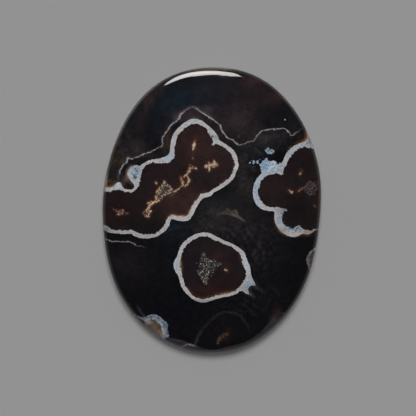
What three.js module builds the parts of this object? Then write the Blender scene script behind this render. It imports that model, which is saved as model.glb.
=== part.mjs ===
// Banded agate cabochon: one oval stone, hand cut, with a low polished dome on a flat back.
// Millimetres. +Z is up, out of the dome; +Y runs along the stone's long axis.
// The origin is the middle of the flat back, on the surface that the stone rests on.

import * as THREE from 'three';

// Plan of the stone: an oval of the 40 x 30 mm class, a little squarer than an ellipse
const HALF_LENGTH = 20.0;
const HALF_WIDTH = 15.27;
const SQUARENESS = 2.12;

// What the cutter's hand left in the oval, each as a share of the local radius
const LEAN = 0.012;
const HEEL = 0.0032;
const CORNERS = 0.003;
const FLATS = 0.0032;
const FLATS_TURN = THREE.MathUtils.degToRad(110);

// Section of the stone from the back up
const THICKNESS = 5.2;
const BACK_BEVEL = 0.4;
const WALL_HEIGHT = 1.35;
const WALL_LEAN = THREE.MathUtils.degToRad(3);
const SHOULDER_RADIUS = 1.35;

// How finely the surface is faceted
const SPOKES = 96;
const SHOULDER_STEPS = 7;
const DOME_STEPS = 7;

// The steepest and flattest slopes that the dome's foot could have, for the search below
const STEEPEST_FOOT = THREE.MathUtils.degToRad(40);
const FLATTEST_FOOT = THREE.MathUtils.degToRad(2);
const SEARCH_STEPS = 40;

const AGATE_COLOR = 0x17161a;
const POLISHED_ROUGHNESS = 0.1;

// Distance from the middle of the oval to its widest edge, in the direction of one spoke
function girdleRadius(angle) {
  const across = Math.abs(Math.cos(angle) / HALF_WIDTH) ** SQUARENESS;
  const along = Math.abs(Math.sin(angle) / HALF_LENGTH) ** SQUARENESS;
  const oval = (across + along) ** (-1 / SQUARENESS);
  const hand = LEAN * Math.sin(2 * angle) + HEEL * Math.sin(3 * angle) + CORNERS * Math.sin(4 * angle);
  const flats = FLATS * Math.cos(7 * angle - FLATS_TURN);
  return oval * (1 + hand + flats);
}

// The wall ends where the shoulder's arc begins
const wallTop = {
  inset: WALL_HEIGHT * Math.tan(WALL_LEAN),
  height: BACK_BEVEL + WALL_HEIGHT,
  slope: Math.PI / 2 - WALL_LEAN,
};

// A point of the shoulder's arc, where the surface has the given slope
function shoulderPoint(slope) {
  return {
    inset: wallTop.inset + SHOULDER_RADIUS * (Math.sin(wallTop.slope) - Math.sin(slope)),
    height: wallTop.height + SHOULDER_RADIUS * (Math.cos(slope) - Math.cos(wallTop.slope)),
  };
}

// The slope at which a dome that meets the shoulder without a crease reaches the full thickness
function domeFootSlope(radius) {
  let flat = FLATTEST_FOOT;
  let steep = STEEPEST_FOOT;
  for (let step = 0; step < SEARCH_STEPS; step += 1) {
    const slope = (flat + steep) / 2;
    const foot = shoulderPoint(slope);
    const top = foot.height + (Math.tan(slope) * (radius - foot.inset)) / 2;
    if (top > THICKNESS) {
      steep = slope;
    } else {
      flat = slope;
    }
  }
  return (flat + steep) / 2;
}

// The section along one spoke, from the edge of the flat back to just before the dome's top,
// as pairs of distance from the middle and height
function section(radius) {
  const points = [
    [radius - BACK_BEVEL, 0],
    [radius, BACK_BEVEL],
  ];
  const footSlope = domeFootSlope(radius);
  for (let step = 0; step <= SHOULDER_STEPS; step += 1) {
    const slope = THREE.MathUtils.lerp(wallTop.slope, footSlope, step / SHOULDER_STEPS);
    const point = shoulderPoint(slope);
    points.push([radius - point.inset, point.height]);
  }
  const [footRadius, footHeight] = points[points.length - 1];
  for (let step = 1; step < DOME_STEPS; step += 1) {
    const share = 1 - step / DOME_STEPS;
    points.push([footRadius * share, THICKNESS - (THICKNESS - footHeight) * share * share]);
  }
  return points;
}

// The closed surface: one section per spoke, joined around, with the back and the top as fans
function stoneGeometry() {
  const positions = [];
  const triangles = [];
  for (let spoke = 0; spoke < SPOKES; spoke += 1) {
    const angle = (spoke / SPOKES) * 2 * Math.PI;
    for (const [distance, height] of section(girdleRadius(angle))) {
      positions.push(distance * Math.cos(angle), distance * Math.sin(angle), height);
    }
  }
  const perSpoke = positions.length / 3 / SPOKES;
  const backMiddle = positions.length / 3;
  const domeTop = backMiddle + 1;
  positions.push(0, 0, 0, 0, 0, THICKNESS);

  for (let spoke = 0; spoke < SPOKES; spoke += 1) {
    const here = spoke * perSpoke;
    const next = ((spoke + 1) % SPOKES) * perSpoke;
    triangles.push(backMiddle, next, here);
    for (let ring = 0; ring < perSpoke - 1; ring += 1) {
      triangles.push(here + ring, next + ring, next + ring + 1);
      triangles.push(here + ring, next + ring + 1, here + ring + 1);
    }
    triangles.push(here + perSpoke - 1, next + perSpoke - 1, domeTop);
  }

  const geometry = new THREE.BufferGeometry();
  geometry.setAttribute('position', new THREE.Float32BufferAttribute(positions, 3));
  geometry.setIndex(triangles);
  return geometry;
}

// The oval isn't quite even, so it is centred by its own box
function centreOnBox(geometry) {
  geometry.computeBoundingBox();
  const middle = geometry.boundingBox.getCenter(new THREE.Vector3());
  geometry.translate(-middle.x, -middle.y, 0);
  geometry.computeVertexNormals();
  return geometry;
}

const agate = new THREE.MeshStandardMaterial({
  color: AGATE_COLOR,
  roughness: POLISHED_ROUGHNESS,
  metalness: 0,
});

const stone = new THREE.Mesh(centreOnBox(stoneGeometry()), agate);
stone.name = 'agate_cabochon';

const group = new THREE.Group();
group.add(stone);

export default group;
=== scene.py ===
# Banded agate cabochon: the polished stone with its nodules, bands, druse and metallic veins,
# on a plain grey table, under soft studio light, seen from straight above.
# The pattern is drawn with curves and soft spots placed in the reference view's
# 416 x 416 frame, where x runs right, y runs down and whole numbers are the pixels' middles.

import math

import bpy
import numpy as np
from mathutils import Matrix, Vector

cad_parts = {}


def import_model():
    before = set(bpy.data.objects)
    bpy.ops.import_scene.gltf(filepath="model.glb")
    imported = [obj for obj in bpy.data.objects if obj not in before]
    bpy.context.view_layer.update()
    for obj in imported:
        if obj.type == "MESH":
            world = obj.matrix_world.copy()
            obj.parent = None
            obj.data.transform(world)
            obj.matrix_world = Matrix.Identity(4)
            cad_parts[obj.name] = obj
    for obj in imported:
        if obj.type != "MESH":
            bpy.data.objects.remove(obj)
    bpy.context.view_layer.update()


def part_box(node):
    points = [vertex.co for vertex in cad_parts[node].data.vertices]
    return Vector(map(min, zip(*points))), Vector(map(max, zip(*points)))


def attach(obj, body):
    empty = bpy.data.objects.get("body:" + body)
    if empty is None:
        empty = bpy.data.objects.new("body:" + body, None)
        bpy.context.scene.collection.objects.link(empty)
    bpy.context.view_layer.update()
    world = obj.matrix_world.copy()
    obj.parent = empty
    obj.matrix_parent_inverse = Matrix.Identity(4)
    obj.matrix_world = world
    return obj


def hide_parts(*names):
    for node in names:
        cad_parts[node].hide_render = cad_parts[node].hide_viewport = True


MM = 0.001
NODE = "agate_cabochon"

# Plan and section of the stone in millimetres, as its solid has them
HALF_LENGTH = 20.0
HALF_WIDTH = 15.27
SQUARENESS = 2.12
LEAN = 0.012
HEEL = 0.0032
CORNERS = 0.003
FLATS = 0.0032
FLATS_TURN = math.radians(110)
BACK_BEVEL = 0.4
WALL_HEIGHT = 1.35
WALL_LEAN = math.radians(3)
SHOULDER_RADIUS = 1.35
EDGE_RADIUS = 0.12
BACK_FLAT_INSET = 0.25

# Slopes of the section's straight parts, and the inset and height of the wall's upper end
WALL_SLOPE = math.pi / 2 - WALL_LEAN
BEVEL_SLOPE = math.radians(135)
WALL_TOP = (WALL_HEIGHT * math.tan(WALL_LEAN), BACK_BEVEL + WALL_HEIGHT)

# The flattest and steepest slopes that the dome's foot could have, for the search of it
FLATTEST_FOOT = math.radians(2)
STEEPEST_FOOT = math.radians(40)
SEARCH_STEPS = 40

# Rings of the fine mesh, counted outwards from the top of the dome; ring n has 8 n corners
DOME_RINGS = 106
SHOULDER_RINGS = 14
WALL_RINGS = 7
EDGE_RINGS = 4
BEVEL_RINGS = 1
BACK_EDGE_RINGS = 2
PART_RINGS = (DOME_RINGS, SHOULDER_RINGS, WALL_RINGS, EDGE_RINGS, BEVEL_RINGS, BACK_EDGE_RINGS)
TOP_RINGS = sum(PART_RINGS)
SHARP_ANGLE = math.radians(60)

# The reference view: its side and middle in pixels, its scale at the stone's widest edge, the
# oval's middle in it, and its camera's lens, sensor and range
VIEW_SIDE = 416
VIEW_MIDDLE = 207.5
PX_PER_MM = 7.14
OVAL_MIDDLE = (211.2, 208.8)
LENS = 200.0
SENSOR = 36.0
CAMERA_RANGE = (0.01, 10.0)

# Steps around the oval that find its box, straight steps between two points of a closed
# curve, and a length and a strength that count as nothing
OVAL_STEPS = 1440
CURVE_STEPS = 3
TINY = 1e-12
GLOW_FLOOR = 1e-6

# Below this height, in millimetres, the pattern drifts, as nodules lean through the rock
DRIFT_START = 2.6

# How much smaller the druse and the veins get for each millimetre of depth below it
FADE_WITH_DEPTH = 0.5

# Outer edges of the bands, clockwise from the top; they run on past the stone where it cuts them
LEFT_RIM = [
    (194.6, 118.4), (200.3, 119.5), (204.7, 122.6), (210.6, 127.5), (215.4, 132.6), (217.8, 136.1),
    (218.4, 139.4), (221.6, 141.4), (228.6, 146), (232.6, 149.4), (235.5, 153.6), (237.2, 159.2),
    (238, 164.8), (237.2, 168.3), (235.4, 172.5), (233.2, 177.5), (230.2, 181), (227.2, 183.4),
    (222.2, 187.2), (218, 189.7), (213.8, 191.7), (210.8, 194.8), (207.2, 196.6), (203, 197.4),
    (198.8, 202.2), (195.5, 208), (192.2, 214.7), (188, 219.7), (182.2, 220.5), (177.2, 220.1),
    (170.9, 218.8), (168.8, 223.8), (166.3, 228.8), (161.3, 233), (155.5, 236.3), (149.7, 237.6),
    (144.7, 238), (138.8, 237.3), (133.8, 235.5), (130.5, 233.3), (124.7, 233.6), (118.8, 233.2),
    (112.2, 232.6), (107.2, 231.6), (104.3, 230.4), (92, 229), (85, 209), (92, 189), (103.6, 187),
    (108.4, 187.1), (112.8, 186.3), (114.8, 184), (116.8, 181.8), (119.8, 181.9), (121.4, 184.8),
    (123.2, 187.7), (127.6, 189), (131.4, 188.8), (133.5, 186.8), (133.5, 184), (130.4, 180.6),
    (128.3, 176.4), (127.6, 172.2), (129.4, 167.4), (133, 165), (136.2, 164.3), (139.6, 165.6),
    (142.2, 163.2), (146.8, 160.7), (151.6, 159.1), (158, 158), (162.8, 156.7), (166.2, 155.3),
    (169, 152.2), (169.8, 146.4), (170.4, 141), (171.5, 136.6), (174, 131.7), (178.1, 127), (183, 122.8),
    (189.2, 119.1),
]
RIGHT_RIM = [
    (265.9, 157.4), (268.2, 160.4), (272.3, 161), (275.7, 162.6), (278, 163.8), (280.8, 162.6),
    (282.9, 160), (283.9, 157), (285.9, 152.6), (289.3, 149), (292.7, 145.8), (297.8, 143.2),
    (302.9, 141.5), (306.2, 139), (307.3, 135.5), (309.5, 129), (335, 126), (350, 180), (335, 226),
    (317, 229.2), (313, 231.4), (309, 233.6), (305, 233.8), (301, 233.4), (297.8, 235.6), (293, 236.5),
    (288.2, 235.6), (284.2, 233.3), (280.2, 230.5), (277, 226.5), (274.6, 221.8), (273.6, 217),
    (273.9, 213), (272.8, 210.6), (268.2, 210.4), (262.6, 209.1), (257.8, 206.4), (254.7, 201.8),
    (252.7, 196.2), (252.3, 189.8), (253.2, 185.2), (254.9, 180.6), (258.3, 175.6), (261, 172.6),
    (260.9, 169.4), (260.1, 165.4), (261, 162.6), (263.6, 160.1),
]
ROUND_RIM = [
    (204.5, 231.8), (210, 233), (215, 235.6), (221, 238.6), (227, 241.5), (234, 244.2), (239, 247.5),
    (244, 252), (245.7, 257), (247.8, 262), (249.6, 266.4), (250.2, 270.4), (250.9, 275.4), (252.2, 278.6),
    (254.4, 282.6), (256.6, 286), (253.6, 285), (250.6, 285), (248.6, 286.6), (247.6, 289.4),
    (248.4, 292.2), (250.8, 294.6), (247.2, 293.8), (244.8, 292.6), (242.6, 290.9), (239.8, 290.4),
    (236, 293.2), (230, 295.4), (223, 296.6), (215, 298.8), (208, 301.1), (204, 302), (198, 301.2),
    (192, 298.4), (187, 294), (182.5, 289), (180, 284), (178, 276), (175, 271), (173.2, 266), (173.5, 261),
    (176, 257), (178, 251), (180.5, 245), (185, 240), (191, 235.6), (197, 233),
]
FOOT_RIM = [
    (133.6, 313.8), (138.6, 315.8), (143.4, 316.9), (146.2, 315.5), (149.4, 314.4), (153.9, 313.7),
    (157, 314.9), (160.6, 317.1), (163.6, 319.8), (166, 321.8), (167.3, 324.4), (167, 327.9),
    (167.8, 331.5), (168.4, 335.1), (167.6, 338), (164, 352), (150, 346), (147.6, 328.6), (147.6, 325.2),
    (144.4, 321.2), (140, 318.6), (135.6, 316.2),
]
SIDE_RIM = [
    (315.6, 246.6), (313.2, 248.8), (310.2, 250.8), (307.8, 253.2), (306.3, 256.6), (305.7, 259.8),
    (306.6, 263.4), (307.8, 266.4), (309.6, 269), (330, 272), (332, 242),
]

# Inner edges of the bands, where the brown hearts begin
LEFT_HEART = [
    (194.4, 123.2), (199.8, 124.3), (205.4, 128), (208.6, 133.6), (211.9, 138.6), (212.6, 141.4),
    (211.4, 144.4), (216, 144), (221.3, 145.6), (229, 151), (231.7, 155.5), (233.2, 159.4), (234.2, 164.1),
    (233.5, 168), (231.6, 173), (227.6, 178.2), (222, 182.6), (215.5, 186.8), (210.6, 189.8),
    (206.8, 192.3), (200.8, 193.3), (197, 198.2), (194.8, 201.6), (191.4, 206.8), (189, 211.4),
    (186.4, 215.6), (178.8, 215.9), (172.2, 215.1), (168.2, 216.5), (165.9, 220), (163.9, 225),
    (160.1, 229.1), (155.8, 232.6), (149.7, 233.8), (143.8, 234.3), (138.8, 232.6), (133.8, 230.9),
    (131.3, 228.8), (128.8, 229.3), (123.8, 229.8), (117.2, 229.7), (112.2, 229.3), (108.8, 227.2),
    (105.5, 225.1), (92, 224), (87, 207), (92, 191), (103.4, 190.9), (110.5, 190.9), (114.7, 189.7),
    (119.7, 189.8), (123, 190.9), (127.2, 191.5), (131.3, 191.8), (134.7, 189.7), (138, 185.5),
    (139.7, 180.5), (140.5, 175.5), (141.3, 170.5), (143.8, 166.3), (147.2, 163.8), (152.2, 162.4),
    (157.2, 162.6), (162.2, 163), (167.2, 162.2), (172.2, 158.8), (173.8, 155.5), (174.2, 148.8),
    (174.5, 144.6), (175.8, 139.4), (177, 135.6), (180.2, 131.4), (184.4, 127.6), (188.8, 124.6),
]
RIGHT_HEART = [
    (278, 173), (281.8, 174.3), (282.4, 171), (285, 165.4), (287.6, 161), (290.2, 155.6), (293, 152.2),
    (296.6, 149.4), (300, 147.3), (305, 146.4), (311.6, 147.6), (335, 148), (345, 185), (335, 226),
    (317, 227.8), (313.8, 229), (310.6, 230), (306.6, 229.4), (302.8, 228.8), (301, 226.8), (298.4, 225.6),
    (295, 225.8), (292.8, 228), (289.8, 226.8), (286, 226), (283, 223.2), (281.4, 218.6), (281.8, 214.6),
    (283.2, 211.4), (285.8, 210), (287.6, 209.4), (285.4, 208.8), (282.6, 208), (280, 207.4), (277, 206.8),
    (272.2, 206.9), (267.4, 205.8), (263.4, 203.3), (259.8, 199.4), (257.7, 194.6), (257.5, 190),
    (259.3, 184.2), (262, 179.4), (266, 175.8), (270.6, 173.7), (274.8, 172.9),
]
ROUND_HEART = [
    (204.5, 235.8), (209, 236.5), (214, 239.5), (220, 241.7), (225, 244.6), (231, 245.6), (235, 249.5),
    (239.3, 253), (241.3, 258), (242.5, 265), (245.2, 269.4), (245.7, 275.4), (244, 279.6), (241, 283.8),
    (237, 288.4), (232, 291.8), (225, 293.4), (217, 295), (211, 297), (205, 298.4), (199, 298.4),
    (194, 296), (189, 291.4), (185.5, 286), (183, 279), (181, 271), (179.5, 264), (180.5, 257),
    (182.5, 250), (184.6, 246), (189, 242), (194, 238.6), (199, 236.2),
]
FOOT_HEART = [
    (146.8, 320.4), (150.8, 319), (154, 319.4), (157.2, 321.8), (159.6, 324.2), (160.9, 327), (161, 330.4),
    (162, 333.4), (160, 342), (148, 338), (143.4, 324.4),
]
SIDE_HEART = [
    (313.6, 249.6), (311, 252.2), (309.8, 256), (309.9, 260), (311.2, 264.4), (330, 262), (330, 250),
]

# Each nodule: its edges, its drift in pixels for each millimetre of depth, and its growth
NODULES = [
    {"rim": LEFT_RIM, "heart": LEFT_HEART, "drift": (1.6, -1.1), "growth": -0.6},
    {"rim": RIGHT_RIM, "heart": RIGHT_HEART, "drift": (-1.2, 1.4), "growth": 0.5},
    {"rim": ROUND_RIM, "heart": ROUND_HEART, "drift": (1.3, 1.5), "growth": -1.2},
    {"rim": FOOT_RIM, "heart": FOOT_HEART, "drift": (1.5, -1.2), "growth": 0.8},
    {"rim": SIDE_RIM, "heart": SIDE_HEART, "drift": (-1.4, 0.8), "growth": 0.4},
]

# The bands' scalloped inner edge: lobes that bulge into the heart; and the froth's pores
LOBES_PER_MM = 2.2
LOBE_DEPTH = 0.23
PORES_PER_MM = 3.2

# Small white and blue beads outside the nodules: middle and radius
BEADS = [
    (267.5, 148.2, 1.4), (266.2, 150.2, 1.7), (264.4, 150, 0.7), (268.1, 152.2, 1.6), (270.2, 151, 1.8),
    (271.2, 149.2, 1), (272.4, 150.4, 1.2), (271.2, 153, 0.9), (272.4, 152.2, 0.7), (270.4, 145.9, 0.4),
    (249.4, 162.3, 0.9), (250.6, 160.3, 0.5), (253.2, 161, 1.2), (253.2, 162.8, 1.1), (256.9, 161, 1.1),
    (257.2, 162.6, 1.1), (259.3, 159.2, 0.7), (256.6, 158, 0.4), (252.6, 166, 0.4), (254.6, 166.4, 0.4),
    (262.4, 157.6, 0.4), (283.9, 119.8, 0.7), (284.9, 118.9, 0.7), (260.4, 164.2, 1.3), (261, 167.6, 1.2),
    (261.6, 170.6, 1.2), (266, 158.6, 1.1), (272.6, 161.2, 1.3), (275, 161.8, 1.2), (279.4, 163, 1),
    (262.6, 161.6, 1.2),
]

# Dark gaps and specks inside the bands: middle and radius
SPECKS = [
    (134.4, 176.8, 1.6), (133.4, 175.2, 0.8), (136, 171, 0.7), (137.4, 173, 0.6), (134.6, 168.6, 0.6),
    (211.8, 136, 1.3), (209, 128.6, 0.5), (146.2, 163.2, 0.6), (163.2, 160.8, 0.6), (289.4, 227.8, 0.8),
    (295.4, 230.3, 0.9), (297.5, 227.4, 0.9), (288.4, 230.4, 0.5), (292.4, 228, 0.5), (299.6, 229, 0.6),
    (285.4, 225.4, 0.7), (283, 221.6, 0.8), (282, 216.6, 0.7), (281.4, 213.2, 0.6), (277.4, 170.4, 0.5),
    (280.8, 169.6, 0.6), (273.6, 168.2, 0.4), (271.4, 150.6, 0.8), (265.6, 164.6, 0.6),
]

# Where the bands are frothy, with pores between small beads: middle, half widths and strength
FROTH_SPOTS = [
    (271, 167, 11, 7, 1), (292, 228, 12, 4.5, 1), (282, 218, 5, 9, 0.8), (134, 171, 6, 8, 0.9),
    (157, 320, 14, 9, 1), (167, 332, 5, 9, 1), (268, 150, 7, 6, 0.8), (304, 144, 9, 5, 0.8),
    (117.5, 185, 7, 4, 0.6), (256, 190, 4, 16, 0.4), (192, 121.5, 14, 4, 0.4), (211, 133, 5, 6, 0.5),
    (247, 284, 5, 5, 0.4), (150, 161, 12, 4, 0.4),
]

# Thin lines: points with their strength; each runs on unseen to close around one side of itself.
# Each has a colour and a width, as a share of the usual one
UPPER_LINE = [
    (118.6, 174, 0.25), (119, 172, 0.7), (120.3, 168, 0.75), (123, 164.5, 0.85), (126.8, 160.6, 0.85),
    (126.8, 157.6, 1), (130.8, 158.7, 0.7), (135, 157, 0.6), (139.2, 155.8, 0.7), (143.4, 153.4, 0.95),
    (147.6, 152, 0.9), (151.8, 150.9, 0.8), (155.3, 148.6, 0.7), (158.1, 146.8, 0.6), (161.6, 146.6, 0.8),
    (162.4, 144.2, 0.7), (161.5, 140.2, 0.75), (162.3, 137.4, 0.8), (163.8, 134.4, 0.85),
    (165.4, 131.8, 0.7), (167.8, 129.4, 0.75), (168.7, 127.2, 0.85), (170.9, 124.6, 0.95),
    (173.4, 122.3, 0.95), (176.2, 119.9, 0.95), (179.3, 117.2, 0.9), (179.6, 115.4, 0.9),
    (181.6, 112.6, 0.75), (185.1, 110, 0.5), (189.3, 107.6, 0.2), (194.4, 107.6, 0.25),
    (199.2, 110.4, 0.95), (204, 113.7, 1), (208.2, 116.2, 1), (212.4, 118.9, 1), (216.6, 122.2, 1),
    (219.6, 124.8, 0.85), (220.9, 128.6, 0.85), (223.5, 133, 0.85), (226.2, 136.4, 0.9),
    (229.2, 138.8, 0.85), (232.5, 139.9, 0.85), (235, 142, 0.85), (238.8, 144.4, 0.75), (244, 143.2, 0.4),
    (249.6, 140.6, 0.5), (254.4, 140.2, 0.35), (256.2, 135.8, 0.75), (258.9, 132.6, 0.8),
    (262.4, 130.3, 0.75), (266.3, 129.4, 0.75), (271.7, 128.3, 0.8), (275.6, 128.6, 0.8), (279, 128.5, 0.8),
    (282, 128, 0.8), (285, 128.6, 0.85), (287.3, 130.7, 0.8), (289.2, 132.5, 0.75), (290.2, 135.4, 0.7),
    (292.8, 134.4, 0.6), (294.6, 133, 0.5), (298, 131, 0.2), (306, 127, 0), (350, 120, 0), (350, 20, 0),
    (60, 20, 0), (60, 182, 0), (112, 182, 0),
]
LOWER_LINE = [
    (104, 237.6, 0.6), (108, 240, 0.8), (115, 240.9, 0.85), (121, 241, 0.85), (125, 241.5, 0.7),
    (128, 240.6, 0.7), (131, 242, 0.75), (135, 244.4, 0.6), (141, 246, 0.25), (147, 247.6, 0),
    (153, 249, 0), (160, 251, 0), (162, 300, 0), (150, 380, 0), (60, 380, 0), (60, 232, 0), (92, 233, 0.3),
]
RING_LINE = [
    (193.6, 346, 0.35), (195, 342.3, 0.45), (196.5, 339.3, 0.45), (198.6, 334.4, 0.35), (201, 329.6, 0.25),
    (205.2, 325.2, 0.2), (208.8, 321.6, 0.18), (213, 317.4, 0.2), (217.6, 313.9, 0.22),
    (223.4, 311.8, 0.28), (230.6, 311.7, 0.3), (236.8, 313.8, 0.28), (241.6, 317.7, 0.28),
    (245.8, 322.8, 0.2), (248.2, 328, 0.12), (250, 332, 0.05), (253, 345, 0), (252, 372, 0), (188, 372, 0),
    (190.6, 352, 0.2),
]
BRIM_LINE = [
    (176, 348.6, 0.3), (181.6, 346.2, 0.7), (185.6, 344.4, 0.95), (189.6, 343.8, 1), (192.8, 344.9, 0.8),
    (194.6, 346.4, 0.2), (197, 350, 0), (198, 372, 0), (168, 372, 0), (170, 351, 0.1),
]
LINES = {
    "upper_line": (UPPER_LINE, (148, 146, 150), 1.2),
    "lower_line": (LOWER_LINE, (128, 125, 131), 1.1),
    "ring_line": (RING_LINE, (57, 56, 64), 2.8),
    "brim_line": (BRIM_LINE, (132, 124, 128), 1.3),
}

# How far the lines lean, in pixels for each millimetre of depth
LINE_LEAN = (0.8, 1.2)

# Crystalline patches: outlines of the sparkling druse
ROUND_DRUSE = [
    (203.2, 250.6), (205.2, 251.6), (205.6, 255), (206.8, 257), (208.4, 258.6), (210.6, 259.2),
    (213, 258.4), (215.4, 259.6), (218.4, 260.6), (221.6, 262.4), (220.6, 264.4), (217.6, 267.4),
    (214.2, 270), (212.6, 273.4), (209, 275), (207.4, 276.4), (207.8, 280), (206.8, 282.6), (204.8, 284),
    (202.6, 283), (201.6, 280), (199.6, 278.4), (200.2, 276.4), (198.2, 274), (196.8, 271), (198.4, 268.4),
    (198.6, 265.4), (198.8, 262.4), (199.4, 259), (201, 256), (200.8, 253),
]
LEFT_DRUSE = [
    (160.6, 185), (162.4, 182.4), (164.5, 181), (167.4, 184.2), (170.1, 187.3), (171.5, 190.1), (168, 192),
    (164, 194), (162.6, 197.4), (160.8, 200.4), (157.2, 200.2), (155.6, 197), (156.4, 192.6),
    (158.2, 188.8),
]
DRUSES = [ROUND_DRUSE, LEFT_DRUSE]
DRUSE_GRAINS = [(196.2, 263.2, 0.9), (211.6, 274.4, 0.9), (209.4, 276.6, 0.6)]

DRUSE_COLOR = (158, 156, 152)
DRUSE_SPOTS = [
    (162, 190, 10, 12, 1, (146, 128, 118)), (166, 187.6, 4, 3.6, 0.8, (146, 133, 130)),
    (221, 262, 5, 4, 0.9, (118, 96, 90)), (203.4, 280, 4.4, 6, 0.95, (232, 214, 204)),
    (199.6, 270, 4, 5, 0.6, (166, 146, 142)), (214, 267, 6, 6, 0.6, (124, 128, 130)),
]

# What the darkest grains keep of the druse's colour
DRUSE_SHADE = 0.045

# The druse's crystal faces: how far they go in and out in millimetres, the share of that by
# which they lie sunk, and between which distances from its edge they grow to it
DRUSE_SEED = 11
DRUSE_RELIEF = 0.02
DRUSE_SINK = 0.4
DRUSE_RAMP = (-0.045, 0.105)

# How fine the druse's grains and the lace around the veins are
GRAINS_PER_MM = 4.6
LACE_PER_MM = 2.6

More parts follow.
